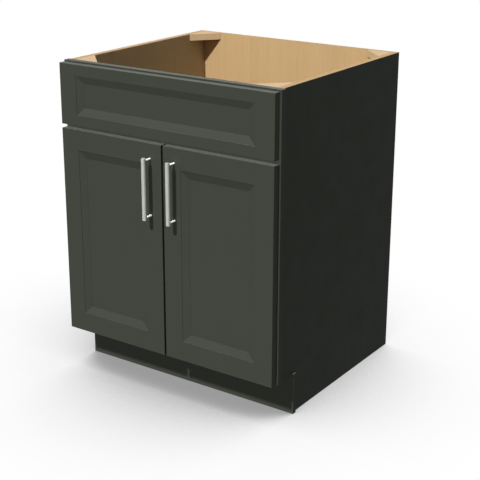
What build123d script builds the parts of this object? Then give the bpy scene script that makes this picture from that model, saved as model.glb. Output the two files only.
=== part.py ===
from build123d import *
import os

os.makedirs("parts", exist_ok=True)

# =====================================================================
# Sink base cabinet with a face frame, two doors and a false front.
# Frame: +X to the right seen from the front, +Y to the back, +Z up.
# Origin: middle of the bounding box, on the floor.
# All lengths in millimetres.
# =====================================================================

# ---- carcass ---------------------------------------------------------
WIDTH = 685.8            # face frame, 27 in
HEIGHT = 876.3           # floor to top edge, 34 1/2 in
DEPTH = 609.6            # face frame front to back panel rear, 24 in
TOE_HEIGHT = 114.3       # 4 1/2 in
TOE_DEPTH = 76.2         # 3 in behind the face frame
TOE_BOARD_T = 12.7       # finish board
TOE_BACKER_T = 18.3      # board under the deck
SIDE_INSET = 6.35        # side panels stand this far inside the frame's ends
SIDE_T = 18.3            # plywood
DECK_T = 18.3
BACK_T = 12.7
DADO = 6.35              # depth of the grooves for deck and back

# ---- face frame ------------------------------------------------------
FRAME_T = 19.05
STILE_W = 38.1
RAIL_W = 38.1

# ---- corner blocks ---------------------------------------------------
BLOCK_LEG = 74.0
BLOCK_SHORT_LEG = 62.0   # rear left block, along the back
BLOCK_TIP = 1.0
BLOCK_T = 19.05
BLOCK_HOLE_R = 2.5
BLOCK_HOLE_IN = 26.0     # hole centre from both walls

# ---- fronts ----------------------------------------------------------
FRONT_T = 20.65          # doors and false front
FRONT_GAP = 3.05         # between their backs and the face frame
REVEAL = 4.0             # from the fronts' outer edges to the frame's edge
MEET_GAP = 6.0           # between the two doors
DOOR_Z0 = 115.05
DOOR_H = 581.05
FALSE_Z0 = 707.3
FALSE_H = 165.0
FLAT_W = 55.7            # flat face of a stile before the moulding
FALSE_FLAT_W = 29.5      # flat face of the false front's rails
SLOPE_W = 20.5           # width of the sloped moulding
STEP_D = 1.0             # small step down at the moulding's outer edge
STEP_W = 0.3             # the step leans inward this much
SLOPE_D = 7.5            # depth at the moulding's inner edge
LIP = 0.4                # moulding's edge over the panel
GROOVE_W = 6.35
GROOVE_DEPTH = 9.5
PANEL_T = 6.25
PANEL_PLAY = 1.5         # panel is this much short of the groove's floor
EASE = 0.8               # eased front edges
REAR_EASE = 1.5          # rounded rear edge on the hinge side

# ---- pulls -----------------------------------------------------------
BAR_D = 12.0
BAR_L = 166.0
STANDOFF = 27.0          # door face to bar axis
POST_D = 5.0
POST_PITCH = 152.4
PULL_X = 38.5            # bar axis from the cabinet's middle
PULL_Z = 580.0
PULL_SCREW_D = 3.5

# ---- screws ----------------------------------------------------------
RECESS_L = 4.0           # cross recess in the heads
RECESS_W = 0.9
RECESS_DEPTH = 1.2

# ---- concealed hinges ------------------------------------------------
HINGE_Z = (210.0, 601.0)
PIN_U = 8.0              # pin axis from the door's outer edge
PIN_V = 8.5              # pin axis from the door's rear face
PIN_D = 3.0
CUP_D = 35.0
CUP_DEPTH = 13.0
CUP_WALL = 1.0
CUP_RIM = 3.0            # wood between the cup and the door's edge
WING_T = 1.0
ARM_HALF = 4.5           # half width of the arm's nose
OPEN_ANGLE = 105.0

# ---- derived ---------------------------------------------------------
YF = -(DEPTH - (FRONT_GAP + FRONT_T + STANDOFF + BAR_D / 2)) / 2   # face frame front
YB = YF + DEPTH                                                    # back panel rear
Y_FRAME_REAR = YF + FRAME_T
Y_BACK_IN = YB - BACK_T
Y_REAR = YF - FRONT_GAP                                            # rear of the fronts
Y_FRONT = Y_REAR - FRONT_T                                         # face of the fronts
Y_TOE = YF + TOE_DEPTH
HW = WIDTH / 2
SIDE_OUT = HW - SIDE_INSET
SIDE_IN = SIDE_OUT - SIDE_T
DECK_TOP = TOE_HEIGHT + RAIL_W
OPEN_X = HW - STILE_W
MID_RAIL_Z = (DOOR_Z0 + DOOR_H + FALSE_Z0) / 2
FRONT_X1 = HW - REVEAL
DOOR_X0 = MEET_GAP / 2
DOOR_W = FRONT_X1 - DOOR_X0
STILE_FULL = FLAT_W + SLOPE_W
FALSE_RAIL = FALSE_FLAT_W + SLOPE_W
GROOVE_D0 = SLOPE_D + LIP
PIN_X = FRONT_X1 - PIN_U
PIN_Y = Y_REAR - PIN_V
CUP_X = FRONT_X1 - CUP_RIM - CUP_D / 2
Y_BAR = Y_FRONT - STANDOFF

print("overall", WIDTH, 2 * max(abs(YB), abs(Y_BAR - BAR_D / 2)), HEIGHT)
print("door", DOOR_W, DOOR_H, "pin axis", PIN_X, PIN_Y, "frame front", YF)


def moulding(flat):
    """Cross-section of a front's stile or rail: (distance from the outer
    edge, depth behind the face) pairs, with the groove for the panel."""
    full = flat + SLOPE_W
    return [
        (0.0, 0.0),
        (flat, 0.0),
        (flat + STEP_W, STEP_D),
        (full, SLOPE_D),
        (full, GROOVE_D0),
        (full - GROOVE_DEPTH, GROOVE_D0),
        (full - GROOVE_DEPTH, GROOVE_D0 + GROOVE_W),
        (full, GROOVE_D0 + GROOVE_W),
        (full, FRONT_T),
        (0.0, FRONT_T),
    ]


def outer_front_edges(solid, inner_x):
    """Edges round a stile's flat face, without the one at the moulding."""
    flat = solid.faces().filter_by(Axis.Y).sort_by(Axis.Y)[0]
    return [e for e in flat.edges() if abs(e.center().X - inner_x) > 0.01]


def cross_recess(u, v):
    """Corners of a screwdriver cross centred on (u, v)."""
    a, b = RECESS_L / 2, RECESS_W / 2
    pts = [(-b, a), (b, a), (b, b), (a, b), (a, -b), (b, -b),
           (b, -a), (-b, -a), (-b, -b), (-a, -b), (-a, b), (-b, b)]
    return [(u + x, v + y) for x, y in pts]


# =====================================================================
# Carcass
# =====================================================================

with BuildPart() as side_panel_right:
    with BuildSketch(Plane.YZ.offset(SIDE_IN)):
        Polygon(
            (Y_FRAME_REAR, TOE_HEIGHT),
            (Y_TOE + TOE_BOARD_T, TOE_HEIGHT),
            (Y_TOE + TOE_BOARD_T, 0),
            (YB, 0),
            (YB, HEIGHT),
            (Y_FRAME_REAR, HEIGHT),
            align=None,
        )
    extrude(amount=SIDE_T)
    # groove for the deck
    with BuildSketch(Plane.YZ.offset(SIDE_IN)):
        with Locations(((Y_FRAME_REAR + Y_BACK_IN) / 2, DECK_TOP - DECK_T / 2)):
            Rectangle(Y_BACK_IN - Y_FRAME_REAR, DECK_T)
    extrude(amount=DADO, mode=Mode.SUBTRACT)
    # rabbet for the back
    with BuildSketch(Plane.YZ.offset(SIDE_IN)):
        with Locations((YB - BACK_T / 2, HEIGHT / 2)):
            Rectangle(BACK_T, HEIGHT)
    extrude(amount=DADO, mode=Mode.SUBTRACT)
side_panel_right.part.label = "side_panel_right"
export_step(side_panel_right.part, "parts/side_panel_right.step")

with BuildPart() as side_panel_left:
    mirror(side_panel_right.part, about=Plane.YZ)
side_panel_left.part.label = "side_panel_left"
export_step(side_panel_left.part, "parts/side_panel_left.step")

with BuildPart() as bottom_panel:
    with BuildSketch(Plane.XY.offset(DECK_TOP - DECK_T)):
        with Locations((0, (Y_FRAME_REAR + Y_BACK_IN) / 2)):
            Rectangle(2 * (SIDE_IN + DADO), Y_BACK_IN - Y_FRAME_REAR)
    extrude(amount=DECK_T)
bottom_panel.part.label = "bottom_panel"
export_step(bottom_panel.part, "parts/bottom_panel.step")

with BuildPart() as back_panel:
    with BuildSketch(Plane.XY):
        with Locations((0, YB - BACK_T / 2)):
            Rectangle(2 * (SIDE_IN + DADO), BACK_T)
    extrude(amount=HEIGHT)
back_panel.part.label = "back_panel"
export_step(back_panel.part, "parts/back_panel.step")

with BuildPart() as toe_kick_board:
    with BuildSketch(Plane.XY):
        with Locations((0, Y_TOE + TOE_BOARD_T / 2)):
            Rectangle(WIDTH, TOE_BOARD_T)
    extrude(amount=TOE_HEIGHT)
toe_kick_board.part.label = "toe_kick_board"
export_step(toe_kick_board.part, "parts/toe_kick_board.step")

with BuildPart() as toe_kick_backer:
    with BuildSketch(Plane.XY):
        with Locations((0, Y_TOE + TOE_BOARD_T + TOE_BACKER_T / 2)):
            Rectangle(2 * SIDE_IN, TOE_BACKER_T)
    extrude(amount=DECK_TOP - DECK_T)
toe_kick_backer.part.label = "toe_kick_backer"
export_step(toe_kick_backer.part, "parts/toe_kick_backer.step")

# Corner blocks: triangles with clipped tips, flush with the top, each with
# one upright hole for the worktop's screw.
with BuildPart() as corner_block_rear_right:
    with BuildSketch(Plane.XY.offset(HEIGHT - BLOCK_T)):
        Polygon(
            (SIDE_IN, Y_BACK_IN),
            (SIDE_IN - BLOCK_LEG, Y_BACK_IN),
            (SIDE_IN - BLOCK_LEG, Y_BACK_IN - BLOCK_TIP),
            (SIDE_IN - BLOCK_TIP, Y_BACK_IN - BLOCK_LEG),
            (SIDE_IN, Y_BACK_IN - BLOCK_LEG),
            align=None,
        )
        with Locations((SIDE_IN - BLOCK_HOLE_IN, Y_BACK_IN - BLOCK_HOLE_IN)):
            Circle(BLOCK_HOLE_R, mode=Mode.SUBTRACT)
    extrude(amount=BLOCK_T)
corner_block_rear_right.part.label = "corner_block_rear_right"
export_step(corner_block_rear_right.part, "parts/corner_block_rear_right.step")

with BuildPart() as corner_block_rear_left:
    with BuildSketch(Plane.XY.offset(HEIGHT - BLOCK_T)):
        Polygon(
            (-SIDE_IN, Y_BACK_IN),
            (-SIDE_IN, Y_BACK_IN - BLOCK_LEG),
            (-SIDE_IN + BLOCK_TIP, Y_BACK_IN - BLOCK_LEG),
            (-SIDE_IN + BLOCK_SHORT_LEG, Y_BACK_IN - BLOCK_TIP),
            (-SIDE_IN + BLOCK_SHORT_LEG, Y_BACK_IN),
            align=None,
        )
        with Locations((-SIDE_IN + BLOCK_HOLE_IN, Y_BACK_IN - BLOCK_HOLE_IN)):
            Circle(BLOCK_HOLE_R, mode=Mode.SUBTRACT)
    extrude(amount=BLOCK_T)
corner_block_rear_left.part.label = "corner_block_rear_left"
export_step(corner_block_rear_left.part, "parts/corner_block_rear_left.step")

with BuildPart() as corner_block_front_right:
    with BuildSketch(Plane.XY.offset(HEIGHT - BLOCK_T)):
        Polygon(
            (SIDE_IN, Y_FRAME_REAR),
            (SIDE_IN, Y_FRAME_REAR + BLOCK_LEG),
            (SIDE_IN - BLOCK_TIP, Y_FRAME_REAR + BLOCK_LEG),
            (SIDE_IN - BLOCK_LEG, Y_FRAME_REAR + BLOCK_TIP),
            (SIDE_IN - BLOCK_LEG, Y_FRAME_REAR),
            align=None,
        )
        with Locations((SIDE_IN - BLOCK_HOLE_IN, Y_FRAME_REAR + BLOCK_HOLE_IN)):
            Circle(BLOCK_HOLE_R, mode=Mode.SUBTRACT)
    extrude(amount=BLOCK_T)
corner_block_front_right.part.label = "corner_block_front_right"
export_step(corner_block_front_right.part, "parts/corner_block_front_right.step")

with BuildPart() as corner_block_front_left:
    mirror(corner_block_front_right.part, about=Plane.YZ)
corner_block_front_left.part.label = "corner_block_front_left"
export_step(corner_block_front_left.part, "parts/corner_block_front_left.step")

# =====================================================================
# Face frame
# =====================================================================

ARM_SCREW_Y = YF + 10.0
ARM_SCREW_DZ = 16.0
ARM_SCREW_D = 4.0
ARM_SCREW_IN = 16.0
FALSE_BLOCK_W = 38.1
FALSE_BLOCK_X0 = OPEN_X - FALSE_BLOCK_W
FALSE_BLOCK_Z0 = MID_RAIL_Z + RAIL_W / 2
FALSE_BLOCK_Z1 = HEIGHT - RAIL_W
FALSE_SCREW_X = OPEN_X - FALSE_BLOCK_W / 2
FALSE_SCREW_Z = (746.0, 813.0)
FALSE_SCREW_D = 4.0
FALSE_SCREW_IN = 14.0
SIDE_SCREW_Z = (733.0, 826.0)
SIDE_SCREW_Y = YF + 9.5
SIDE_SCREW_IN = 18.0

with BuildPart() as frame_stile_right:
    with BuildSketch(Plane.XY.offset(TOE_HEIGHT)):
        with Locations((HW - STILE_W / 2, YF + FRAME_T / 2)):
            Rectangle(STILE_W, FRAME_T)
    extrude(amount=HEIGHT - TOE_HEIGHT)
    fillet(
        frame_stile_right.edges().filter_by(Axis.Z).group_by(Axis.Y)[0].sort_by(Axis.X)[-1],
        radius=EASE,
    )
    # pilot holes for the hinge arms' screws, in the inner edge
    with BuildSketch(Plane.YZ.offset(OPEN_X)):
        with Locations(*[(ARM_SCREW_Y, z + dz) for z in HINGE_Z for dz in (-ARM_SCREW_DZ, ARM_SCREW_DZ)]):
            Circle(ARM_SCREW_D / 2 + 0.05)
    extrude(amount=ARM_SCREW_IN + 0.5, mode=Mode.SUBTRACT)
    # pilot holes for the false front blocks' screws
    with BuildSketch(Plane.YZ.offset(OPEN_X)):
        with Locations(*[(SIDE_SCREW_Y, z) for z in SIDE_SCREW_Z]):
            Circle(FALSE_SCREW_D / 2 + 0.05)
    extrude(amount=SIDE_SCREW_IN + 0.5, mode=Mode.SUBTRACT)
frame_stile_right.part.label = "frame_stile_right"
export_step(frame_stile_right.part, "parts/frame_stile_right.step")

with BuildPart() as frame_stile_left:
    mirror(frame_stile_right.part, about=Plane.YZ)
frame_stile_left.part.label = "frame_stile_left"
export_step(frame_stile_left.part, "parts/frame_stile_left.step")

with BuildPart() as frame_top_rail:
    with BuildSketch(Plane.XY.offset(HEIGHT - RAIL_W)):
        with Locations((0, YF + FRAME_T / 2)):
            Rectangle(2 * OPEN_X, FRAME_T)
    extrude(amount=RAIL_W)
frame_top_rail.part.label = "frame_top_rail"
export_step(frame_top_rail.part, "parts/frame_top_rail.step")

with BuildPart() as frame_middle_rail:
    with BuildSketch(Plane.XY.offset(MID_RAIL_Z - RAIL_W / 2)):
        with Locations((0, YF + FRAME_T / 2)):
            Rectangle(2 * OPEN_X, FRAME_T)
    extrude(amount=RAIL_W)
frame_middle_rail.part.label = "frame_middle_rail"
export_step(frame_middle_rail.part, "parts/frame_middle_rail.step")

with BuildPart() as frame_bottom_rail:
    with BuildSketch(Plane.XY.offset(TOE_HEIGHT)):
        with Locations((0, YF + FRAME_T / 2)):
            Rectangle(2 * OPEN_X, FRAME_T)
    extrude(amount=RAIL_W)
frame_bottom_rail.part.label = "frame_bottom_rail"
export_step(frame_bottom_rail.part, "parts/frame_bottom_rail.step")

# =====================================================================
# False front: five pieces, coped rails, panel in grooves
# =====================================================================

with BuildPart() as false_front_stile_right:
    with BuildSketch(Plane.XY.offset(FALSE_Z0)):
        Polygon(*[(FRONT_X1 - w, Y_FRONT + d) for w, d in moulding(FLAT_W)], align=None)
    extrude(amount=FALSE_H)
    fillet(outer_front_edges(false_front_stile_right.part, FRONT_X1 - FLAT_W), radius=EASE)
    # pilot holes for the fixing screws
    with BuildSketch(Plane.XZ.offset(-Y_REAR)):
        with Locations(*[(FALSE_SCREW_X, z) for z in FALSE_SCREW_Z]):
            Circle(FALSE_SCREW_D / 2 + 0.05)
    extrude(amount=FALSE_SCREW_IN + 0.5, mode=Mode.SUBTRACT)
false_front_stile_right.part.label = "false_front_stile_right"
export_step(false_front_stile_right.part, "parts/false_front_stile_right.step")

with BuildPart() as false_front_stile_left:
    mirror(false_front_stile_right.part, about=Plane.YZ)
false_front_stile_left.part.label = "false_front_stile_left"
export_step(false_front_stile_left.part, "parts/false_front_stile_left.step")

with BuildPart() as false_front_top_rail:
    with BuildSketch(Plane.YZ.offset(-(FRONT_X1 - FLAT_W))):
        Polygon(
            *[(Y_FRONT + d, FALSE_Z0 + FALSE_H - w) for w, d in moulding(FALSE_FLAT_W)],
            align=None,
        )
    extrude(amount=2 * (FRONT_X1 - FLAT_W))
    fillet(
        false_front_top_rail.edges().filter_by(Axis.X).group_by(Axis.Z)[-1].sort_by(Axis.Y)[0],
        radius=EASE,
    )
    add(false_front_stile_right.part, mode=Mode.SUBTRACT)
    add(false_front_stile_left.part, mode=Mode.SUBTRACT)
false_front_top_rail.part.label = "false_front_top_rail"
export_step(false_front_top_rail.part, "parts/false_front_top_rail.step")

with BuildPart() as false_front_bottom_rail:
    with BuildSketch(Plane.YZ.offset(-(FRONT_X1 - FLAT_W))):
        Polygon(
            *[(Y_FRONT + d, FALSE_Z0 + w) for w, d in moulding(FALSE_FLAT_W)],
            align=None,
        )
    extrude(amount=2 * (FRONT_X1 - FLAT_W))
    fillet(
        false_front_bottom_rail.edges().filter_by(Axis.X).group_by(Axis.Z)[0].sort_by(Axis.Y)[0],
        radius=EASE,
    )
    add(false_front_stile_right.part, mode=Mode.SUBTRACT)
    add(false_front_stile_left.part, mode=Mode.SUBTRACT)
false_front_bottom_rail.part.label = "false_front_bottom_rail"
export_step(false_front_bottom_rail.part, "parts/false_front_bottom_rail.step")

with BuildPart() as false_front_panel:
    with BuildSketch(Plane.XZ.offset(-(Y_FRONT + GROOVE_D0 + PANEL_T))):
        with Locations((0, FALSE_Z0 + FALSE_H / 2)):
            Rectangle(
                2 * (FRONT_X1 - STILE_FULL + GROOVE_DEPTH - PANEL_PLAY),
                FALSE_H - 2 * (FALSE_RAIL - GROOVE_DEPTH + PANEL_PLAY),
            )
    extrude(amount=PANEL_T)
false_front_panel.part.label = "false_front_panel"
export_step(false_front_panel.part, "parts/false_front_panel.step")

# Blocks in the frame's upper opening that the false front is screwed to
with BuildPart() as false_front_block_right:
    with BuildSketch(Plane.XY.offset(FALSE_BLOCK_Z0)):
        with Locations((OPEN_X - FALSE_BLOCK_W / 2, YF + FRAME_T / 2)):
            Rectangle(FALSE_BLOCK_W, FRAME_T)
    extrude(amount=FALSE_BLOCK_Z1 - FALSE_BLOCK_Z0)
    with BuildSketch(Plane.XZ.offset(-Y_FRAME_REAR)):
        with Locations(*[(FALSE_SCREW_X, z) for z in FALSE_SCREW_Z]):
            Circle(FALSE_SCREW_D / 2 + 0.25)
    extrude(amount=FRAME_T, mode=Mode.SUBTRACT)
    with BuildSketch(Plane.YZ.offset(FALSE_BLOCK_X0)):
        with Locations(*[(SIDE_SCREW_Y, z) for z in SIDE_SCREW_Z]):
            Circle(FALSE_SCREW_D / 2 + 0.25)
    extrude(amount=FALSE_BLOCK_W, mode=Mode.SUBTRACT)
false_front_block_right.part.label = "false_front_block_right"
export_step(false_front_block_right.part, "parts/false_front_block_right.step")

with BuildPart() as false_front_block_left:
    mirror(false_front_block_right.part, about=Plane.YZ)
false_front_block_left.part.label = "false_front_block_left"
export_step(false_front_block_left.part, "parts/false_front_block_left.step")

with BuildPart() as false_front_screws:
    with BuildSketch(Plane.XZ.offset(-(Y_FRAME_REAR + 2.2))):
        with Locations(*[(s * FALSE_SCREW_X, z) for s in (-1, 1) for z in FALSE_SCREW_Z]):
            Circle(4.0)
    extrude(amount=2.2)
    with BuildSketch(Plane.XZ.offset(-Y_FRAME_REAR)):
        with Locations(*[(s * FALSE_SCREW_X, z) for s in (-1, 1) for z in FALSE_SCREW_Z]):
            Circle(FALSE_SCREW_D / 2)
    extrude(amount=FRAME_T + FRONT_GAP + FALSE_SCREW_IN)
    fillet(
        false_front_screws.faces().filter_by(Axis.Y).group_by(Axis.Y)[-1].edges(),
        radius=0.9,
    )
    with BuildSketch(Plane.XZ.offset(-(Y_FRAME_REAR + 2.2))):
        for s in (-1, 1):
            for z in FALSE_SCREW_Z:
                Polygon(*cross_recess(s * FALSE_SCREW_X, z), align=None)
    extrude(amount=RECESS_DEPTH, mode=Mode.SUBTRACT)
false_front_screws.part.label = "false_front_screws"
export_step(false_front_screws.part, "parts/false_front_screws.step")

with BuildPart() as false_front_block_screws:
    with BuildSketch(Plane.YZ.offset(FALSE_BLOCK_X0 - 2.2)):
        with Locations(*[(SIDE_SCREW_Y, z) for z in SIDE_SCREW_Z]):
            Circle(4.0)
    extrude(amount=2.2)
    with BuildSketch(Plane.YZ.offset(FALSE_BLOCK_X0)):
        with Locations(*[(SIDE_SCREW_Y, z) for z in SIDE_SCREW_Z]):
            Circle(FALSE_SCREW_D / 2)
    extrude(amount=FALSE_BLOCK_W + SIDE_SCREW_IN)
    fillet(
        false_front_block_screws.faces().filter_by(Axis.X).group_by(Axis.X)[0].edges(),
        radius=0.9,
    )
    with BuildSketch(Plane.YZ.offset(FALSE_BLOCK_X0 - 2.2)):
        for z in SIDE_SCREW_Z:
            Polygon(*cross_recess(SIDE_SCREW_Y, z), align=None)
    extrude(amount=RECESS_DEPTH, mode=Mode.SUBTRACT)
    mirror(about=Plane.YZ)
false_front_block_screws.part.label = "false_front_block_screws"
export_step(false_front_block_screws.part, "parts/false_front_block_screws.step")

# Bumpers that keep the false front off the frame
FALSE_BUMPER_X = FRONT_X1 - 12.0
FALSE_BUMPER_Z = (714.3, 864.0)
BUMPER_R = 4.5

with BuildPart() as false_front_bumpers:
    with BuildSketch(Plane.XZ.offset(-YF)):
        with Locations(*[(s * FALSE_BUMPER_X, z) for s in (-1, 1) for z in FALSE_BUMPER_Z]):
            Circle(BUMPER_R)
    extrude(amount=FRONT_GAP)
false_front_bumpers.part.label = "false_front_bumpers"
export_step(false_front_bumpers.part, "parts/false_front_bumpers.step")

# =====================================================================
# Right door; the left door is its mirror image
# =====================================================================

CUP_SCREW_X = PIN_X - 22.0
CUP_SCREW_DZ = 22.5
CUP_SCREW_D = 3.5
CUP_SCREW_IN = 11.0
PULL_POSTS_Z = (PULL_Z - POST_PITCH / 2, PULL_Z + POST_PITCH / 2)

with BuildPart() as right_door_hinge_stile:
    with BuildSketch(Plane.XY.offset(DOOR_Z0)):
        Polygon(*[(FRONT_X1 - w, Y_FRONT + d) for w, d in moulding(FLAT_W)], align=None)
    extrude(amount=DOOR_H)
    fillet(outer_front_edges(right_door_hinge_stile.part, FRONT_X1 - FLAT_W), radius=EASE)
    fillet(
        right_door_hinge_stile.edges().filter_by(Axis.Z).group_by(Axis.Y)[-1].sort_by(Axis.X)[-1],
        radius=REAR_EASE,
    )
    # bores for the hinge cups, from the rear
    with BuildSketch(Plane.XZ.offset(-Y_REAR)):
        with Locations(*[(CUP_X, z) for z in HINGE_Z]):
            Circle(CUP_D / 2 + 0.15)
    extrude(amount=CUP_DEPTH + 0.2, mode=Mode.SUBTRACT)
    # pilot holes for the cups' screws
    with BuildSketch(Plane.XZ.offset(-Y_REAR)):
        with Locations(*[(CUP_SCREW_X, z + dz) for z in HINGE_Z for dz in (-CUP_SCREW_DZ, CUP_SCREW_DZ)]):
            Circle(CUP_SCREW_D / 2 + 0.05)
    extrude(amount=CUP_SCREW_IN + 0.5, mode=Mode.SUBTRACT)
right_door_hinge_stile.part.label = "right_door_hinge_stile"
export_step(right_door_hinge_stile.part, "parts/right_door_hinge_stile.step")

with BuildPart() as right_door_meeting_stile:
    with BuildSketch(Plane.XY.offset(DOOR_Z0)):
        Polygon(*[(DOOR_X0 + w, Y_FRONT + d) for w, d in moulding(FLAT_W)], align=None)
    extrude(amount=DOOR_H)
    fillet(outer_front_edges(right_door_meeting_stile.part, DOOR_X0 + FLAT_W), radius=EASE)
    # holes for the pull's screws
    with BuildSketch(Plane.XZ.offset(-Y_REAR)):
        with Locations(*[(PULL_X, z) for z in PULL_POSTS_Z]):
            Circle(PULL_SCREW_D / 2 + 0.4)
    extrude(amount=FRONT_T, mode=Mode.SUBTRACT)
right_door_meeting_stile.part.label = "right_door_meeting_stile"
export_step(right_door_meeting_stile.part, "parts/right_door_meeting_stile.step")

with BuildPart() as right_door_top_rail:
    with BuildSketch(Plane.YZ.offset(DOOR_X0 + FLAT_W)):
        Polygon(
            *[(Y_FRONT + d, DOOR_Z0 + DOOR_H - w) for w, d in moulding(FLAT_W)],
            align=None,
        )
    extrude(amount=DOOR_W - 2 * FLAT_W)
    fillet(
        right_door_top_rail.edges().filter_by(Axis.X).group_by(Axis.Z)[-1].sort_by(Axis.Y)[0],
        radius=EASE,
    )
    add(right_door_hinge_stile.part, mode=Mode.SUBTRACT)
    add(right_door_meeting_stile.part, mode=Mode.SUBTRACT)
right_door_top_rail.part.label = "right_door_top_rail"
export_step(right_door_top_rail.part, "parts/right_door_top_rail.step")

with BuildPart() as right_door_bottom_rail:
    with BuildSketch(Plane.YZ.offset(DOOR_X0 + FLAT_W)):
        Polygon(*[(Y_FRONT + d, DOOR_Z0 + w) for w, d in moulding(FLAT_W)], align=None)
    extrude(amount=DOOR_W - 2 * FLAT_W)
    fillet(
        right_door_bottom_rail.edges().filter_by(Axis.X).group_by(Axis.Z)[0].sort_by(Axis.Y)[0],
        radius=EASE,
    )
    add(right_door_hinge_stile.part, mode=Mode.SUBTRACT)
    add(right_door_meeting_stile.part, mode=Mode.SUBTRACT)
right_door_bottom_rail.part.label = "right_door_bottom_rail"
export_step(right_door_bottom_rail.part, "parts/right_door_bottom_rail.step")

with BuildPart() as right_door_panel:
    with BuildSketch(Plane.XZ.offset(-(Y_FRONT + GROOVE_D0 + PANEL_T))):
        with Locations((DOOR_X0 + DOOR_W / 2, DOOR_Z0 + DOOR_H / 2)):
            Rectangle(
                DOOR_W - 2 * (STILE_FULL - GROOVE_DEPTH + PANEL_PLAY),
                DOOR_H - 2 * (STILE_FULL - GROOVE_DEPTH + PANEL_PLAY),
            )
    extrude(amount=PANEL_T)
right_door_panel.part.label = "right_door_panel"
export_step(right_door_panel.part, "parts/right_door_panel.step")

with BuildPart() as left_door_hinge_stile:
    mirror(right_door_hinge_stile.part, about=Plane.YZ)
left_door_hinge_stile.part.label = "left_door_hinge_stile"
export_step(left_door_hinge_stile.part, "parts/left_door_hinge_stile.step")

with BuildPart() as left_door_meeting_stile:
    mirror(right_door_meeting_stile.part, about=Plane.YZ)
left_door_meeting_stile.part.label = "left_door_meeting_stile"
export_step(left_door_meeting_stile.part, "parts/left_door_meeting_stile.step")

with BuildPart() as left_door_top_rail:
    mirror(right_door_top_rail.part, about=Plane.YZ)
left_door_top_rail.part.label = "left_door_top_rail"
export_step(left_door_top_rail.part, "parts/left_door_top_rail.step")

with BuildPart() as left_door_bottom_rail:
    mirror(right_door_bottom_rail.part, about=Plane.YZ)
left_door_bottom_rail.part.label = "left_door_bottom_rail"
export_step(left_door_bottom_rail.part, "parts/left_door_bottom_rail.step")

with BuildPart() as left_door_panel:
    mirror(right_door_panel.part, about=Plane.YZ)
left_door_panel.part.label = "left_door_panel"
export_step(left_door_panel.part, "parts/left_door_panel.step")

# Bumpers on the doors' backs, by the free edge
DOOR_BUMPER_X = DOOR_X0 + 14.0
DOOR_BUMPER_Z = (DOOR_Z0 + 14.0, MID_RAIL_Z - RAIL_W / 2 + 6.5)

with BuildPart() as right_door_bumpers:
    with BuildSketch(Plane.XZ.offset(-Y_REAR)):
        with Locations(*[(DOOR_BUMPER_X, z) for z in DOOR_BUMPER_Z]):
            Circle(BUMPER_R)
    extrude(amount=-(FRONT_GAP - 0.3))
    fillet(right_door_bumpers.faces().sort_by(Axis.Y)[-2:].edges(), radius=1.2)
right_door_bumpers.part.label = "right_door_bumpers"
export_step(right_door_bumpers.part, "parts/right_door_bumpers.step")

with BuildPart() as left_door_bumpers:
    mirror(right_door_bumpers.part, about=Plane.YZ)
left_door_bumpers.part.label = "left_door_bumpers"
export_step(left_door_bumpers.part, "parts/left_door_bumpers.step")

# =====================================================================
# Bar pulls
# =====================================================================

with BuildPart() as right_pull_bar:
    with BuildSketch(Plane.XY.offset(PULL_Z - BAR_L / 2)):
        with Locations((PULL_X, Y_BAR)):
            Circle(BAR_D / 2)
    extrude(amount=BAR_L)
    chamfer(right_pull_bar.faces().filter_by(Axis.Z).edges(), length=0.6)
    # sockets for the posts
    with BuildSketch(Plane.XZ.offset(-(Y_BAR + BAR_D / 2))):
        with Locations(*[(PULL_X, z) for z in PULL_POSTS_Z]):
            Circle(POST_D / 2 + 0.05)
    extrude(amount=4.0, mode=Mode.SUBTRACT)
right_pull_bar.part.label = "right_pull_bar"
export_step(right_pull_bar.part, "parts/right_pull_bar.step")

with BuildPart() as right_pull_posts:
    with BuildSketch(Plane.XZ.offset(-Y_FRONT)):
        with Locations(*[(PULL_X, z) for z in PULL_POSTS_Z]):
            Circle(POST_D / 2)
    extrude(amount=STANDOFF - BAR_D / 2 + 3.8)
    # tapped bore for the screw
    with BuildSketch(Plane.XZ.offset(-Y_FRONT)):
        with Locations(*[(PULL_X, z) for z in PULL_POSTS_Z]):
            Circle(PULL_SCREW_D / 2 + 0.03)
    extrude(amount=12.0, mode=Mode.SUBTRACT)
right_pull_posts.part.label = "right_pull_posts"
export_step(right_pull_posts.part, "parts/right_pull_posts.step")

with BuildPart() as right_pull_screws:
    with BuildSketch(Plane.XZ.offset(-Y_REAR)):
        with Locations(*[(PULL_X, z) for z in PULL_POSTS_Z]):
            Circle(4.25)
    extrude(amount=-1.9)
    fillet(right_pull_screws.faces().sort_by(Axis.Y)[-2:].edges(), radius=0.9)
    with BuildSketch(Plane.XZ.offset(-Y_REAR)):
        with Locations(*[(PULL_X, z) for z in PULL_POSTS_Z]):
            Circle(PULL_SCREW_D / 2)
    extrude(amount=FRONT_T + 10.0)
    with BuildSketch(Plane.XZ.offset(-(Y_REAR + 1.9))):
        for z in PULL_POSTS_Z:
            Polygon(*cross_recess(PULL_X, z), align=None)
    extrude(amount=RECESS_DEPTH, mode=Mode.SUBTRACT)
right_pull_screws.part.label = "right_pull_screws"
export_step(right_pull_screws.part, "parts/right_pull_screws.step")

with BuildPart() as left_pull_bar:
    mirror(right_pull_bar.part, about=Plane.YZ)
left_pull_bar.part.label = "left_pull_bar"
export_step(left_pull_bar.part, "parts/left_pull_bar.step")

with BuildPart() as left_pull_posts:
    mirror(right_pull_posts.part, about=Plane.YZ)
left_pull_posts.part.label = "left_pull_posts"
export_step(left_pull_posts.part, "parts/left_pull_posts.step")

with BuildPart() as left_pull_screws:
    mirror(right_pull_screws.part, about=Plane.YZ)
left_pull_screws.part.label = "left_pull_screws"
export_step(left_pull_screws.part, "parts/left_pull_screws.step")

# =====================================================================
# Concealed hinges, lower right first.  The pin lies inside the cup, close
# to the door's outer edge, so that the overlay swings clear of the frame.
# =====================================================================

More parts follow.
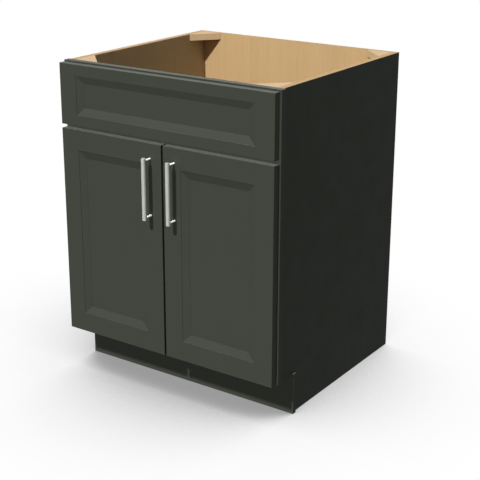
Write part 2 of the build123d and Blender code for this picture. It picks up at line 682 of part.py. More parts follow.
Z1, Z2 = HINGE_Z
HINGE_LIFT = Z2 - Z1
LUG_Z0 = 5.2
LUG_T = 2.0
WING_X0 = PIN_X - 28.5
WING_X1 = PIN_X - 15.5
WING_HALF = 28.0
RISER_X0 = PIN_X - 15.5
RISER_X1 = PIN_X - 12.5
ARM_LOW = 2.5            # nose runs from this far in front of the pin ...
ARM_HIGH = 0.5           # ... to this far behind it
ARM_PLATE_T = 1.5
ARM_PLATE_HALF = 15.0
WRAP_T = 1.8
WRAP_HALF = 25.0
WRAP_DEPTH = 17.5

with BuildPart() as right_hinge_cup_lower:
    # cup
    with BuildSketch(Plane.XZ.offset(-Y_REAR)):
        with Locations((CUP_X, Z1)):
            Circle(CUP_D / 2)
    extrude(amount=CUP_DEPTH)
    # wings on the door's back
    with BuildSketch(Plane.XZ.offset(-(Y_REAR + WING_T))):
        with Locations(((WING_X0 + WING_X1) / 2, Z1)):
            RectangleRounded(WING_X1 - WING_X0, 2 * WING_HALF, 4.0)
    extrude(amount=WING_T)
    # hollow of the cup, out through the wings
    with BuildSketch(Plane.XZ.offset(-(Y_REAR + WING_T))):
        with Locations((CUP_X, Z1)):
            Circle(CUP_D / 2 - CUP_WALL)
    extrude(amount=WING_T + CUP_DEPTH - CUP_WALL, mode=Mode.SUBTRACT)
    # lugs that hold the pin
    with BuildSketch(Plane.XZ.offset(-(PIN_Y + 3.0))):
        with Locations(
            (PIN_X - 0.4, Z1 - LUG_Z0 - LUG_T / 2),
            (PIN_X - 0.4, Z1 + LUG_Z0 + LUG_T / 2),
        ):
            Rectangle(5.6, LUG_T)
    extrude(amount=3.0 + (Y_REAR - CUP_DEPTH + CUP_WALL / 2 - PIN_Y) * -1)
    with BuildSketch(Plane.XY.offset(Z1 - LUG_Z0 - LUG_T)):
        with Locations((PIN_X, PIN_Y)):
            Circle(PIN_D / 2 + 0.01)
    extrude(amount=2 * (LUG_Z0 + LUG_T), mode=Mode.SUBTRACT)
    # screw holes in the wings
    with BuildSketch(Plane.XZ.offset(-(Y_REAR + WING_T))):
        with Locations((CUP_SCREW_X, Z1 - CUP_SCREW_DZ), (CUP_SCREW_X, Z1 + CUP_SCREW_DZ)):
            Circle(CUP_SCREW_D / 2 + 0.2)
    extrude(amount=WING_T, mode=Mode.SUBTRACT)
right_hinge_cup_lower.part.label = "right_hinge_cup_lower"
export_step(right_hinge_cup_lower.part, "parts/right_hinge_cup_lower.step")

with BuildPart() as right_hinge_arm_lower:
    # nose: from the pin along the cup, then out of its mouth
    with BuildSketch(Plane.XY.offset(Z1 - ARM_HALF)):
        with Locations((PIN_X, PIN_Y)):
            Circle(3.0)
        Polygon(
            (PIN_X, PIN_Y - ARM_LOW),
            (PIN_X, PIN_Y + ARM_HIGH),
            (RISER_X1, PIN_Y + ARM_HIGH),
            (RISER_X1, YF),
            (RISER_X0, YF),
            (RISER_X0, PIN_Y - ARM_LOW),
            align=None,
        )
        with Locations((PIN_X, PIN_Y)):
            Circle(PIN_D / 2 + 0.04, mode=Mode.SUBTRACT)
    extrude(amount=2 * ARM_HALF)
    # plate in front of the frame's stile
    with BuildSketch(Plane.XY.offset(Z1 - ARM_PLATE_HALF)):
        Polygon(
            (RISER_X1, YF),
            (RISER_X1, YF - ARM_PLATE_T),
            (OPEN_X - WRAP_T, YF - ARM_PLATE_T),
            (OPEN_X - WRAP_T, YF),
            align=None,
        )
    extrude(amount=2 * ARM_PLATE_HALF)
    # wrap along the stile's inner edge
    with BuildSketch(Plane.YZ.offset(OPEN_X - WRAP_T)):
        with Locations((YF + (WRAP_DEPTH - ARM_PLATE_T) / 2, Z1)):
            Rectangle(WRAP_DEPTH + ARM_PLATE_T, 2 * ARM_PLATE_HALF)
        with Locations((YF + 1.0 + (WRAP_DEPTH - 1.0) / 2, Z1)):
            RectangleRounded(WRAP_DEPTH - 1.0, 2 * WRAP_HALF, 3.0)
    extrude(amount=WRAP_T)
    with BuildSketch(Plane.YZ.offset(OPEN_X - WRAP_T)):
        with Locations((ARM_SCREW_Y, Z1 - ARM_SCREW_DZ), (ARM_SCREW_Y, Z1 + ARM_SCREW_DZ)):
            Circle(ARM_SCREW_D / 2 + 0.2)
    extrude(amount=WRAP_T, mode=Mode.SUBTRACT)
right_hinge_arm_lower.part.label = "right_hinge_arm_lower"
export_step(right_hinge_arm_lower.part, "parts/right_hinge_arm_lower.step")

with BuildPart() as right_hinge_pins:
    with BuildSketch(Plane.XY.offset(Z1 - LUG_Z0 - LUG_T)):
        with Locations((PIN_X, PIN_Y)):
            Circle(PIN_D / 2)
    extrude(amount=2 * (LUG_Z0 + LUG_T))
    with BuildSketch(Plane.XY.offset(Z2 - LUG_Z0 - LUG_T)):
        with Locations((PIN_X, PIN_Y)):
            Circle(PIN_D / 2)
    extrude(amount=2 * (LUG_Z0 + LUG_T))
right_hinge_pins.part.label = "right_hinge_pins"
export_step(right_hinge_pins.part, "parts/right_hinge_pins.step")

# closing spring leaves, flat on the cups' floors
CUP_FLOOR = Y_REAR - CUP_DEPTH + CUP_WALL
with BuildPart() as right_hinge_springs:
    with BuildSketch(Plane.XZ.offset(-(CUP_FLOOR + 0.5))):
        with Locations((PIN_X - 14.25, Z1), (PIN_X - 14.25, Z2)):
            RectangleRounded(19.5, 8.0, 2.0)
    extrude(amount=0.5)
right_hinge_springs.part.label = "right_hinge_springs"
export_step(right_hinge_springs.part, "parts/right_hinge_springs.step")

with BuildPart() as right_hinge_cup_screws:
    with BuildSketch(Plane.XZ.offset(-(Y_REAR + WING_T))):
        with Locations(*[(CUP_SCREW_X, z + dz) for z in HINGE_Z for dz in (-CUP_SCREW_DZ, CUP_SCREW_DZ)]):
            Circle(3.3)
    extrude(amount=-1.1)
    with BuildSketch(Plane.XZ.offset(-(Y_REAR + WING_T))):
        with Locations(*[(CUP_SCREW_X, z + dz) for z in HINGE_Z for dz in (-CUP_SCREW_DZ, CUP_SCREW_DZ)]):
            Circle(CUP_SCREW_D / 2)
    extrude(amount=WING_T + CUP_SCREW_IN)
    with BuildSketch(Plane.XZ.offset(-(Y_REAR + WING_T + 1.1))):
        for z in HINGE_Z:
            for dz in (-CUP_SCREW_DZ, CUP_SCREW_DZ):
                Polygon(*cross_recess(CUP_SCREW_X, z + dz), align=None)
    extrude(amount=RECESS_DEPTH, mode=Mode.SUBTRACT)
right_hinge_cup_screws.part.label = "right_hinge_cup_screws"
export_step(right_hinge_cup_screws.part, "parts/right_hinge_cup_screws.step")

with BuildPart() as hinge_arm_screws:
    with BuildSketch(Plane.YZ.offset(OPEN_X - WRAP_T)):
        with Locations(*[(ARM_SCREW_Y, z + dz) for z in HINGE_Z for dz in (-ARM_SCREW_DZ, ARM_SCREW_DZ)]):
            Circle(3.6)
    extrude(amount=-2.0)
    with BuildSketch(Plane.YZ.offset(OPEN_X - WRAP_T)):
        with Locations(*[(ARM_SCREW_Y, z + dz) for z in HINGE_Z for dz in (-ARM_SCREW_DZ, ARM_SCREW_DZ)]):
            Circle(ARM_SCREW_D / 2)
    extrude(amount=WRAP_T + ARM_SCREW_IN)
    fillet(
        hinge_arm_screws.faces().filter_by(Axis.X).group_by(Axis.X)[0].edges(),
        radius=0.8,
    )
    with BuildSketch(Plane.YZ.offset(OPEN_X - WRAP_T - 2.0)):
        for z in HINGE_Z:
            for dz in (-ARM_SCREW_DZ, ARM_SCREW_DZ):
                Polygon(*cross_recess(ARM_SCREW_Y, z + dz), align=None)
    extrude(amount=RECESS_DEPTH, mode=Mode.SUBTRACT)
    mirror(about=Plane.YZ)
hinge_arm_screws.part.label = "hinge_arm_screws"
export_step(hinge_arm_screws.part, "parts/hinge_arm_screws.step")

with BuildPart() as right_hinge_cup_upper:
    add(right_hinge_cup_lower.part.moved(Location((0, 0, HINGE_LIFT))))
right_hinge_cup_upper.part.label = "right_hinge_cup_upper"
export_step(right_hinge_cup_upper.part, "parts/right_hinge_cup_upper.step")

with BuildPart() as right_hinge_arm_upper:
    add(right_hinge_arm_lower.part.moved(Location((0, 0, HINGE_LIFT))))
right_hinge_arm_upper.part.label = "right_hinge_arm_upper"
export_step(right_hinge_arm_upper.part, "parts/right_hinge_arm_upper.step")

with BuildPart() as left_hinge_cup_lower:
    mirror(right_hinge_cup_lower.part, about=Plane.YZ)
left_hinge_cup_lower.part.label = "left_hinge_cup_lower"
export_step(left_hinge_cup_lower.part, "parts/left_hinge_cup_lower.step")

with BuildPart() as left_hinge_cup_upper:
    mirror(right_hinge_cup_upper.part, about=Plane.YZ)
left_hinge_cup_upper.part.label = "left_hinge_cup_upper"
export_step(left_hinge_cup_upper.part, "parts/left_hinge_cup_upper.step")

with BuildPart() as left_hinge_arm_lower:
    mirror(right_hinge_arm_lower.part, about=Plane.YZ)
left_hinge_arm_lower.part.label = "left_hinge_arm_lower"
export_step(left_hinge_arm_lower.part, "parts/left_hinge_arm_lower.step")

with BuildPart() as left_hinge_arm_upper:
    mirror(right_hinge_arm_upper.part, about=Plane.YZ)
left_hinge_arm_upper.part.label = "left_hinge_arm_upper"
export_step(left_hinge_arm_upper.part, "parts/left_hinge_arm_upper.step")

with BuildPart() as left_hinge_pins:
    mirror(right_hinge_pins.part, about=Plane.YZ)
left_hinge_pins.part.label = "left_hinge_pins"
export_step(left_hinge_pins.part, "parts/left_hinge_pins.step")

with BuildPart() as left_hinge_springs:
    mirror(right_hinge_springs.part, about=Plane.YZ)
left_hinge_springs.part.label = "left_hinge_springs"
export_step(left_hinge_springs.part, "parts/left_hinge_springs.step")

with BuildPart() as left_hinge_cup_screws:
    mirror(right_hinge_cup_screws.part, about=Plane.YZ)
left_hinge_cup_screws.part.label = "left_hinge_cup_screws"
export_step(left_hinge_cup_screws.part, "parts/left_hinge_cup_screws.step")
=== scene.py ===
import bpy
import math
from mathutils import Matrix, Vector


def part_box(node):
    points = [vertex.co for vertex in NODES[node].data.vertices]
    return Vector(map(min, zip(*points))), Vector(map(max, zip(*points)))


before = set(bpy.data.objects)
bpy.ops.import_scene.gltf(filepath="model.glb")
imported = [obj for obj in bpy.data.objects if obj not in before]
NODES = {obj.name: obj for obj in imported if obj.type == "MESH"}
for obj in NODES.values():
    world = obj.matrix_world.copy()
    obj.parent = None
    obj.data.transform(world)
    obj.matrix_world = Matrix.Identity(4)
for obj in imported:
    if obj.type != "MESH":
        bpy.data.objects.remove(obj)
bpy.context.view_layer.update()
scene = bpy.context.scene

# ------------------------------------------------------------------
# Camera, at the photograph's viewing angle (480 x 480 frame)
# ------------------------------------------------------------------
cam_data = bpy.data.cameras.new("camera")
cam_data.sensor_width = 36.0
cam_data.sensor_fit = "HORIZONTAL"
cam_data.lens = 85.398
cam_data.shift_x = 0.01498
cam_data.shift_y = -0.04802
cam_data.clip_start = 0.05
cam_data.clip_end = 200.0
cam = bpy.data.objects.new("camera", cam_data)
scene.collection.objects.link(cam)
az, el, roll = math.radians(34.793), math.radians(18.231), math.radians(0.047)
back = Vector((math.sin(az) * math.cos(el), -math.cos(az) * math.cos(el), math.sin(el)))
right = (-back).cross(Vector((0, 0, 1))).normalized()
up = right.cross(-back)
right, up = (
    right * math.cos(roll) + up * math.sin(roll),
    up * math.cos(roll) - right * math.sin(roll),
)
rot = Matrix((right, up, back)).transposed().to_4x4()
cam.matrix_world = Matrix.Translation((1.73927, -2.48725, 1.42531)) @ rot
scene.camera = cam

scene.view_settings.view_transform = "Standard"
scene.view_settings.look = "None"
scene.view_settings.exposure = 0.0
scene.view_settings.gamma = 1.0


# ------------------------------------------------------------------
# Node helpers
# ------------------------------------------------------------------
class Tree:
    """A small builder for shader node trees."""

    def __init__(self, name):
        self.mat = bpy.data.materials.new(name)
        self.mat.use_nodes = True
        self.nt = self.mat.node_tree
        self.nt.nodes.clear()
        self.out = self.nt.nodes.new("ShaderNodeOutputMaterial")
        self.coord = self.nt.nodes.new("ShaderNodeTexCoord").outputs["Object"]

    def put(self, socket, value):
        if isinstance(value, bpy.types.NodeSocket):
            self.nt.links.new(value, socket)
        else:
            socket.default_value = value

    def mapped(self, scale, loc=(0, 0, 0), rot=(0, 0, 0), src=None):
        n = self.nt.nodes.new("ShaderNodeMapping")
        self.put(n.inputs["Vector"], src or self.coord)
        n.inputs["Location"].default_value = loc
        n.inputs["Rotation"].default_value = rot
        n.inputs["Scale"].default_value = scale
        return n.outputs["Vector"]

    def noise(self, vec, scale=1.0, detail=2.0, rough=0.5, distortion=0.0):
        n = self.nt.nodes.new("ShaderNodeTexNoise")
        n.noise_dimensions = "3D"
        self.put(n.inputs["Vector"], vec)
        n.inputs["Scale"].default_value = scale
        n.inputs["Detail"].default_value = detail
        n.inputs["Roughness"].default_value = rough
        n.inputs["Distortion"].default_value = distortion
        return n.outputs["Fac"]

    def math(self, op, a, b=0.0, c=0.0, clamp=False):
        n = self.nt.nodes.new("ShaderNodeMath")
        n.operation = op
        n.use_clamp = clamp
        self.put(n.inputs[0], a)
        self.put(n.inputs[1], b)
        self.put(n.inputs[2], c)
        return n.outputs[0]

    def ramp(self, fac, stops, mode="LINEAR"):
        n = self.nt.nodes.new("ShaderNodeValToRGB")
        n.color_ramp.interpolation = mode
        els = n.color_ramp.elements
        while len(els) > len(stops):
            els.remove(els[-1])
        while len(els) < len(stops):
            els.new(0.5)
        for e, (pos, col) in zip(els, stops):
            e.position = pos
            e.color = col if len(col) == 4 else (*col, 1.0)
        self.put(n.inputs["Fac"], fac)
        return n.outputs["Color"]

    def range(self, value, lo, hi, to_lo, to_hi):
        n = self.nt.nodes.new("ShaderNodeMapRange")
        self.put(n.inputs["Value"], value)
        n.inputs["From Min"].default_value = lo
        n.inputs["From Max"].default_value = hi
        n.inputs["To Min"].default_value = to_lo
        n.inputs["To Max"].default_value = to_hi
        return n.outputs["Result"]

    def mix(self, fac, a, b, mode="MIX"):
        n = self.nt.nodes.new("ShaderNodeMix")
        n.data_type = "RGBA"
        n.blend_type = mode
        n.clamp_factor = True
        self.put(n.inputs[0], fac)
        self.put(n.inputs[6], a if isinstance(a, bpy.types.NodeSocket) else (*a, 1.0))
        self.put(n.inputs[7], b if isinstance(b, bpy.types.NodeSocket) else (*b, 1.0))
        return n.outputs[2]

    def blend(self, fac, a, b):
        n = self.nt.nodes.new("ShaderNodeMix")
        n.data_type = "FLOAT"
        n.clamp_factor = True
        self.put(n.inputs[0], fac)
        self.put(n.inputs[2], a)
        self.put(n.inputs[3], b)
        return n.outputs[0]

    def xyz(self, vec=None):
        n = self.nt.nodes.new("ShaderNodeSeparateXYZ")
        self.put(n.inputs[0], vec or self.coord)
        return n.outputs

    def normal(self):
        """The true normal in the object's own space, so that it stays with a moving body."""
        g = self.nt.nodes.new("ShaderNodeNewGeometry")
        n = self.nt.nodes.new("ShaderNodeVectorTransform")
        n.vector_type = "NORMAL"
        n.convert_from = "WORLD"
        n.convert_to = "OBJECT"
        self.put(n.inputs[0], g.outputs["True Normal"])
        return n.outputs[0]

    def bump(self, height, distance, strength=1.0, normal=None):
        n = self.nt.nodes.new("ShaderNodeBump")
        n.inputs["Strength"].default_value = strength
        n.inputs["Distance"].default_value = distance
        self.put(n.inputs["Height"], height)
        if normal is not None:
            self.put(n.inputs["Normal"], normal)
        return n.outputs["Normal"]

    def principled(self, color, rough, normal=None, metallic=0.0, specular=0.5, **more):
        n = self.nt.nodes.new("ShaderNodeBsdfPrincipled")
        self.put(n.inputs["Base Color"], color if isinstance(color, bpy.types.NodeSocket) else (*color, 1.0))
        self.put(n.inputs["Roughness"], rough)
        n.inputs["Metallic"].default_value = metallic
        n.inputs["Specular IOR Level"].default_value = specular
        if normal is not None:
            self.put(n.inputs["Normal"], normal)
        for k, v in more.items():
            n.inputs[k.replace("_", " ")].default_value = v
        self.put(self.out.inputs["Surface"], n.outputs[0])
        return n


# ------------------------------------------------------------------
# Paint: dark green-grey satin enamel
# ------------------------------------------------------------------
PAINT = (0.0462, 0.0524, 0.0386)
PAINT_SPEC = 0.30


def paint_layers(t, base=PAINT):
    """Colour, roughness and normal of the sprayed enamel."""
    clouds = t.noise(t.mapped((1, 1, 1), loc=(3.1, 1.7, 0.4)), scale=5.0, detail=3.0)
    tone = t.range(clouds, 0.3, 0.7, 0.0, 1.0)
    color = t.mix(
        tone,
        tuple(c * 0.98 for c in base),
        tuple(c * 1.02 for c in base),
    )
    specks = t.noise(t.mapped((1, 1, 1), loc=(9.0, 2.0, 5.0)), scale=900.0, detail=1.0)
    color = t.mix(
        t.range(specks, 0.64, 0.82, 0.0, 0.18),
        color,
        tuple(c * 1.25 for c in base),
    )
    peel = t.noise(t.mapped((1, 1, 1)), scale=260.0, detail=2.0, rough=0.55)
    waves = t.noise(t.mapped((1, 1, 1), loc=(4.0, 4.0, 4.0)), scale=45.0, detail=2.0)
    rough = t.range(t.noise(t.mapped((1, 1, 1), loc=(1.0, 7.0, 2.0)), scale=22.0, detail=4.0), 0.3, 0.7, 0.47, 0.56)
    n1 = t.bump(waves, 0.00008, 0.25)
    n2 = t.bump(peel, 0.00003, 0.60, n1)
    return color, rough, n2


def paint():
    t = Tree("paint_satin")
    color, rough, normal = paint_layers(t)
    t.principled(color, rough, normal, specular=PAINT_SPEC)
    return t.mat


# ------------------------------------------------------------------
# Maple plywood: veneer faces with fine streaks along the grain, and
# layered edges
# ------------------------------------------------------------------
WOOD = (0.690, 0.464, 0.231)
# darker, duller copy of the maple veneer for the side panels' inner faces: painted shade, standing in for the dim
# light inside the cabinet
SHADED_INNER_WOOD = (0.470, 0.368, 0.220)
BLOCK_WOOD = (0.800, 0.560, 0.320)


def veneer_layers(t, grain="Z", seed=0.0, base=WOOD):
    """Colour, roughness and normal of a clear-finished maple veneer.
    grain is the axis that the fibres run along."""
    long = {"X": 0, "Y": 1, "Z": 2}[grain]

    def stretched(across, along):
        s = [across] * 3
        s[long] = along
        return t.mapped(tuple(s), loc=(seed, seed * 1.7, seed * 0.6))

    bend = t.noise(stretched(2.2, 0.9), scale=1.0, detail=2.0)
    bent = t.nt.nodes.new("ShaderNodeVectorMath")
    bent.operation = "MULTIPLY_ADD"
    t.put(bent.inputs[0], bend)
    bent.inputs[1].default_value = tuple(0.0 if i == long else 0.05 for i in range(3))
    t.put(bent.inputs[2], t.coord)

    def fibres(across, along, detail, rough=0.6):
        s = [across] * 3
        s[long] = along
        v = t.mapped(tuple(s), loc=(seed, seed * 1.7, seed * 0.6), src=bent.outputs[0])
        return t.noise(v, scale=1.0, detail=detail, rough=rough)

    broad = fibres(14.0, 0.8, 2.0)
    band = fibres(70.0, 1.6, 3.0)
    fine = fibres(420.0, 7.0, 4.0, 0.7)
    fleck = fibres(1100.0, 45.0, 2.0, 0.5)
    color = t.mix(t.range(broad, 0.35, 0.65, 0.0, 1.0),
                  tuple(c * 0.98 for c in base), tuple(c * 1.03 for c in base))
    color = t.mix(t.range(band, 0.45, 0.72, 0.0, 0.24), color,
                  (base[0] * 0.88, base[1] * 0.84, base[2] * 0.77))
    color = t.mix(t.range(fine, 0.50, 0.78, 0.0, 0.42), color,
                  (base[0] * 0.72, base[1] * 0.66, base[2] * 0.56))
    color = t.mix(t.range(fleck, 0.66, 0.80, 0.0, 0.30), color,
                  (base[0] * 0.55, base[1] * 0.47, base[2] * 0.36))
    rough = t.range(fine, 0.3, 0.7, 0.46, 0.58)
    n1 = t.bump(fine, 0.00008, 0.45)
    n2 = t.bump(fleck, 0.00004, 0.35, n1)
    return color, rough, n2


def edge_layers(t, axis, ply=0.00235, base=WOOD):
    """Colour, roughness and normal of a sawn plywood edge, its layers
    stacked along axis."""
    a = {"X": 0, "Y": 1, "Z": 2}[axis]
    s = t.xyz()[a]
    wobble = t.noise(t.mapped((60, 60, 60), loc=(0.3, 0.9, 0.1)), scale=1.0, detail=2.0)
    k = t.math("MULTIPLY_ADD", wobble, 0.12, t.math("DIVIDE", s, ply))
    saw = t.math("PINGPONG", k, 1.0)
    band = t.range(saw, 0.35, 0.65, 0.0, 1.0)
    end = t.noise(t.mapped((1500, 1500, 1500)), scale=1.0, detail=2.0)
    pores = t.range(end, 0.52, 0.75, 0.0, 0.55)
    light = (base[0] * 1.12, base[1] * 1.12, base[2] * 1.16)
    dark = (base[0] * 0.80, base[1] * 0.74, base[2] * 0.66)
    color = t.mix(band, light, dark)
    color = t.mix(t.math("MULTIPLY", pores, band), color,
                  (base[0] * 0.50, base[1] * 0.42, base[2] * 0.33))
    glue = t.math("LESS_THAN", t.math("ABSOLUTE", t.math("SUBTRACT", saw, 0.5)), 0.055)
    color = t.mix(t.math("MULTIPLY", glue, 0.35), color, (base[0] * 0.42, base[1] * 0.33, base[2] * 0.24))
    rough = t.range(end, 0.3, 0.7, 0.62, 0.78)
    normal = t.bump(end, 0.00010, 0.5)
    return color, rough, normal


def merge(t, fac, first, second):
    """Mixes two (colour, roughness, normal) sets."""
    color = t.mix(fac, first[0], second[0])
    rough = t.blend(fac, first[1], second[1])
    n = t.nt.nodes.new("ShaderNodeMix")
    n.data_type = "VECTOR"
    t.put(n.inputs[0], fac)
    t.put(n.inputs[4], first[2])
    t.put(n.inputs[5], second[2])
    return color, rough, n.outputs[1]


def along(t, axis):
    """1 where the surface faces along axis, else 0."""
    c = t.xyz(t.normal())[{"X": 0, "Y": 1, "Z": 2}[axis]]
    return t.math("GREATER_THAN", t.math("ABSOLUTE", c), 0.7)


def plywood(name, face_axis, grain, seed):
    """Clear-finished plywood panel: veneer on the faces, layers on the edges."""
    t = Tree(name)
    face = veneer_layers(t, grain, seed)
    edge = edge_layers(t, face_axis)
    color, rough, normal = merge(t, along(t, face_axis), edge, face)
    t.principled(color, rough, normal, specular=0.35)
    return t.mat


def side_panel(name, sign, seed):
    """Side panel: painted outside, veneer inside in a darker, duller copy of the maple (painted shade of the
    cabinet's inside), layered edges.
    """
    t = Tree(name)
    # inner faces get the darker copy of the veneer: painted shade
    face = veneer_layers(t, "Z", seed, SHADED_INNER_WOOD)
    edge = edge_layers(t, "X")
    wood = merge(t, along(t, "X"), edge, face)
    outside = t.math("GREATER_THAN", t.math("MULTIPLY", t.xyz()[0], sign), OUTER - 0.0003)
    facing = t.math("GREATER_THAN", t.math("MULTIPLY", t.xyz(t.normal())[0], sign), 0.7)
    color, rough, normal = merge(t, t.math("MULTIPLY", outside, facing), wood, paint_layers(t))
    t.principled(color, rough, normal, specular=PAINT_SPEC)
    return t.mat


def block_wood(name, seed):
    """Corner blocks and screw blocks: plain sawn maple."""
    t = Tree(name)
    color, rough, normal = veneer_layers(t, "X", seed, BLOCK_WOOD)
    saw = t.noise(t.mapped((30, 30, 900)), scale=1.0, detail=2.0)
    normal = t.bump(saw, 0.00008, 0.3, normal)
    t.principled(color, rough, normal, specular=0.30)
    return t.mat


# ------------------------------------------------------------------
# Metals and rubber
# ------------------------------------------------------------------
def brushed(name, base, axis="Z", rough=(0.34, 0.46), metallic=1.0):
    """Brushed metal, its scratches running along the axis."""
    t = Tree(name)
    s = [2600.0] * 3
    s[{"X": 0, "Y": 1, "Z": 2}[axis]] = 60.0
    lines = t.noise(t.mapped(tuple(s)), scale=1.0, detail=3.0, rough=0.65)
    smudge = t.noise(t.mapped((1, 1, 1)), scale=60.0, detail=4.0)
    r = t.math("ADD", t.range(lines, 0.3, 0.7, rough[0], rough[1]),
               t.range(smudge, 0.35, 0.7, -0.03, 0.05))
    color = t.mix(t.range(lines, 0.35, 0.7, 0.0, 0.5),
                  base, tuple(c * 0.86 for c in base))
    t.principled(color, r, t.bump(lines, 0.00002, 0.4), metallic=metallic)
    return t.mat


def plated(name, base, rough):
    """Bright plating over stamped steel."""
    t = Tree(name)
    fine = t.noise(t.mapped((1, 1, 1)), scale=700.0, detail=3.0)
    cloud = t.noise(t.mapped((1, 1, 1), loc=(2, 2, 2)), scale=90.0, detail=3.0)
    r = t.math("ADD", t.range(fine, 0.3, 0.7, rough, rough + 0.08), t.range(cloud, 0.3, 0.7, -0.03, 0.05))
    color = t.mix(t.range(cloud, 0.3, 0.7, 0.0, 1.0), base, tuple(c * 0.88 for c in base))
    t.principled(color, r, t.bump(fine, 0.00003, 0.35), metallic=1.0)
    return t.mat


def satin(name, base):
    """Bright satin finish on the turned posts."""
    t = Tree(name)
    rings = t.noise(t.mapped((40.0, 2600.0, 40.0)), scale=1.0, detail=3.0, rough=0.6)
    cloud = t.noise(t.mapped((1, 1, 1), loc=(5, 1, 3)), scale=120.0, detail=2.0)
    color = t.mix(t.range(rings, 0.35, 0.7, 0.0, 1.0), base, tuple(c * 0.93 for c in base))
    r = t.math("ADD", t.range(rings, 0.3, 0.7, 0.40, 0.50), t.range(cloud, 0.35, 0.7, -0.03, 0.04))
    t.principled(color, r, t.bump(rings, 0.00002, 0.3), metallic=0.25)
    return t.mat


def bumper():
    t = Tree("bumper_soft")
    fine = t.noise(t.mapped((1, 1, 1)), scale=1200.0, detail=2.0)
    color = t.mix(t.range(fine, 0.3, 0.7, 0.0, 1.0), (0.62, 0.62, 0.59), (0.72, 0.72, 0.69))
    t.principled(color, t.range(fine, 0.3, 0.7, 0.38, 0.5), t.bump(fine, 0.00002, 0.3),
                 specular=0.5, Subsurface_Weight=0.25, Subsurface_Scale=0.002)
    return t.mat


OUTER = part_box("side_panel_right")[1].x

MATS = {
    "paint": paint(),
    "side_panel_right": side_panel("side_panel_right_mat", 1.0, 2.3),
    "side_panel_left": side_panel("side_panel_left_mat", -1.0, 6.1),
    "back_panel": plywood("back_panel_mat", "Y", "Z", 4.7),
    "bottom_panel": plywood("bottom_panel_mat", "Z", "X", 8.2),
    "toe_kick_backer": plywood("toe_kick_backer_mat", "Y", "X", 1.4),
    "block": block_wood("block_mat", 3.3),
    "steel": brushed("pull_steel", (0.600, 0.612, 0.575), rough=(0.52, 0.62), metallic=0.4),
    "post": satin("pull_post_satin", (0.86, 0.86, 0.84)),
    "nickel": plated("hinge_nickel", (0.66, 0.64, 0.60), 0.26),
    "zinc": plated("screw_zinc", (0.62, 0.63, 0.65), 0.34),
    "spring": plated("spring_steel", (0.34, 0.35, 0.36), 0.30),
    "bumper": bumper(),
}


def material_of(name):
    if name in MATS:
        return MATS[name]
    if name.startswith("corner_block") or name.startswith("false_front_block_left") or name.startswith("false_front_block_right"):
        return MATS["block"]
    if "bumpers" in name:
        return MATS["bumper"]
    if "pull_posts" in name:
        return MATS["post"]
    if "pull_bar" in name:
        return MATS["steel"]
    if "springs" in name:
        return MATS["spring"]
    if "screws" in name:
        return MATS["zinc"]
    if "hinge_cup" in name or "hinge_arm" in name or "hinge_pins" in name:
        return MATS["nickel"]
    return MATS["paint"]


for name, obj in NODES.items():
    mat = material_of(name)
    if not obj.material_slots:
        obj.data.materials.append(mat)
    for s in obj.material_slots:
        s.material = mat

# ------------------------------------------------------------------
# Floor, world and lights
# ------------------------------------------------------------------
floor_mesh = bpy.data.meshes.new("floor")
F = 60.0
floor_mesh.from_pydata([(-F, -F, 0), (F, -F, 0), (F, F, 0), (-F, F, 0)], [], [(0, 1, 2, 3)])
floor = bpy.data.objects.new("floor", floor_mesh)
scene.collection.objects.link(floor)
floor.location.z = -0.0002
ft = Tree("floor_glow_painted_shadow")
# pale floor that glows by itself and is lit by no lamp: a painted shadow, white where it sees the whole sky,
# soft grey where the cabinet stands over it, leant so that the painted shadow reaches further to the left
FLOOR_LEAN = (0.08, 0.0, 1.0)
ft_ao = ft.nt.nodes.new("ShaderNodeAmbientOcclusion")
ft_ao.samples = 16
ft_ao.inputs["Distance"].default_value = 1.0
ft_lean = ft.nt.nodes.new("ShaderNodeCombineXYZ")
for socket, v in zip(ft_lean.inputs, FLOOR_LEAN):
    socket.default_value = v
ft.put(ft_ao.inputs["Normal"], ft_lean.outputs[0])
# grey levels of the painted floor shadow, from the AO value
FLOOR_TONES = ((0.28, 0.322), (0.38, 0.352), (0.46, 0.416), (0.54, 0.585), (0.62, 0.735), (0.70, 0.845), (0.78, 0.930), (0.85, 0.990), (0.90, 1.0))
ft_tone = ft.ramp(ft_ao.outputs["AO"], [(a, (v, v, v)) for a, v in FLOOR_TONES])
ft_emit = ft.nt.nodes.new("ShaderNodeEmission")
ft.put(ft_emit.inputs["Color"], ft_tone)
ft.put(ft.out.inputs["Surface"], ft_emit.outputs[0])
floor.data.materials.append(ft.mat)
floor.visible_diffuse = False
floor.visible_glossy = False

world = bpy.data.worlds.new("world")
scene.world = world
world.use_nodes = True
wn = world.node_tree
wn.nodes.clear()
w_out = wn.nodes.new("ShaderNodeOutputWorld")
w_amb = wn.nodes.new("ShaderNodeBackground")
w_cam = wn.nodes.new("ShaderNodeBackground")
w_mix = wn.nodes.new("ShaderNodeMixShader")
w_path = wn.nodes.new("ShaderNodeLightPath")
w_amb.inputs["Color"].default_value = (0.203, 0.208, 0.206, 1.0)
w_amb.inputs["Strength"].default_value = 1.0
w_cam.inputs["Color"].default_value = (1, 1, 1, 1)
w_cam.inputs["Strength"].default_value = 1.0
wn.links.new(w_path.outputs["Is Camera Ray"], w_mix.inputs[0])
wn.links.new(w_amb.outputs[0], w_mix.inputs[1])
wn.links.new(w_cam.outputs[0], w_mix.inputs[2])
wn.links.new(w_mix.outputs[0], w_out.inputs["Surface"])


def group(name, members):
    c = bpy.data.collections.new(name)
    for o in members:
        c.objects.link(o)
    return c


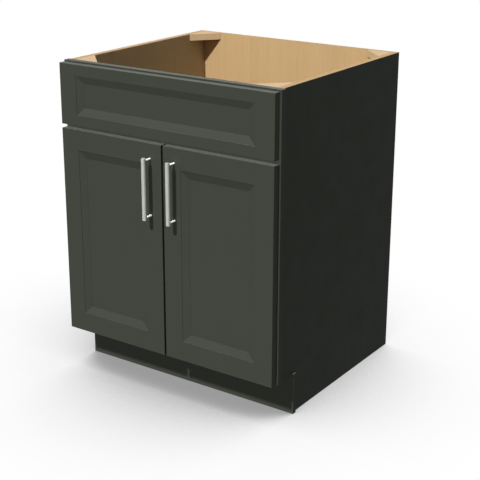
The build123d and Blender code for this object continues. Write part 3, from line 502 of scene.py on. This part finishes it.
BARE = ("back_panel", "bottom_panel", "toe_kick_backer", "corner_block_front_left",
        "corner_block_front_right", "corner_block_rear_left", "corner_block_rear_right",
        "false_front_block_left", "false_front_block_right")
SIDES = ("side_panel_left", "side_panel_right")
only_cabinet = group("only_cabinet", NODES.values())
only_paint = group("only_paint", [o for n, o in NODES.items() if n not in BARE + SIDES])
only_wood = group("only_wood", [NODES[n] for n in BARE + SIDES])
only_left_wall = group("only_left_wall", [NODES[n] for n in ("side_panel_left", "frame_stile_left")])
only_bars = group("only_bars", [o for n, o in NODES.items() if "pull_bar" in n])
only_posts = group("only_posts", [o for n, o in NODES.items() if "pull_posts" in n])

FALSE_FRONT = [o for n, o in NODES.items() if n.startswith("false_front") and "block" not in n]
no_false_front = group("no_false_front", [o for o in NODES.values() if o not in FALSE_FRONT])


def sun(name, direction, strength, color, angle_deg, receivers, shadow=True, blockers=None):
    """A soft far light that shines along direction."""
    data = bpy.data.lights.new(name, "SUN")
    data.energy = strength
    data.color = color
    data.angle = math.radians(angle_deg)
    data.use_shadow = shadow
    data.cycles.use_multiple_importance_sampling = shadow
    o = bpy.data.objects.new(name, data)
    scene.collection.objects.link(o)
    d = Vector(direction).normalized()
    o.rotation_mode = "QUATERNION"
    o.rotation_quaternion = (-d).to_track_quat("Z", "Y")
    o.light_linking.receiver_collection = receivers
    if blockers is not None:
        o.light_linking.blocker_collection = blockers
    return o


# the key, from the front and above; the doors' top edges and the rail behind
# the gap aren't cut off from it by the false front
sun("key", (0.0, 1.0, -1.04), 3.22, (1, 1, 1), 3.0, only_paint, blockers=no_false_front)
sun("key_wood", (0.03, 1.0, -1.0), 3.16, (1, 1, 1), 3.0, only_wood)

# fills, so that no crevice in the paintwork goes black
sun("fill_front", (-0.3, 1.0, 0.6), 0.14, (1, 1, 1), 8.0, only_paint, shadow=False)
sun("fill_front_left", (0.7, 0.7, -0.5), 0.34, (1, 1, 1), 8.0, only_paint, shadow=False)
sun("fill_left", (1.0, 0.2, 0.0), 0.40, (1, 1, 1), 8.0, only_left_wall, shadow=False)

# a bright backdrop behind and to the left
sun("rim", (0.54, -0.78, -0.31), 0.30, (1, 1, 1), 60.0, only_cabinet)
sun("rim_high", (0.40, -0.58, -0.707), 1.00, (1, 1, 1), 8.0, only_paint, shadow=False)

# the room in front of the pulls, and above their posts
sun("bars", (-0.20, 0.90, -0.38), 0.45, (1, 1, 0.98), 100.0, only_bars)
sun("posts", (-0.50, 0.30, -0.80), 4.00, (1, 1, 0.98), 8.0, only_posts, shadow=False)
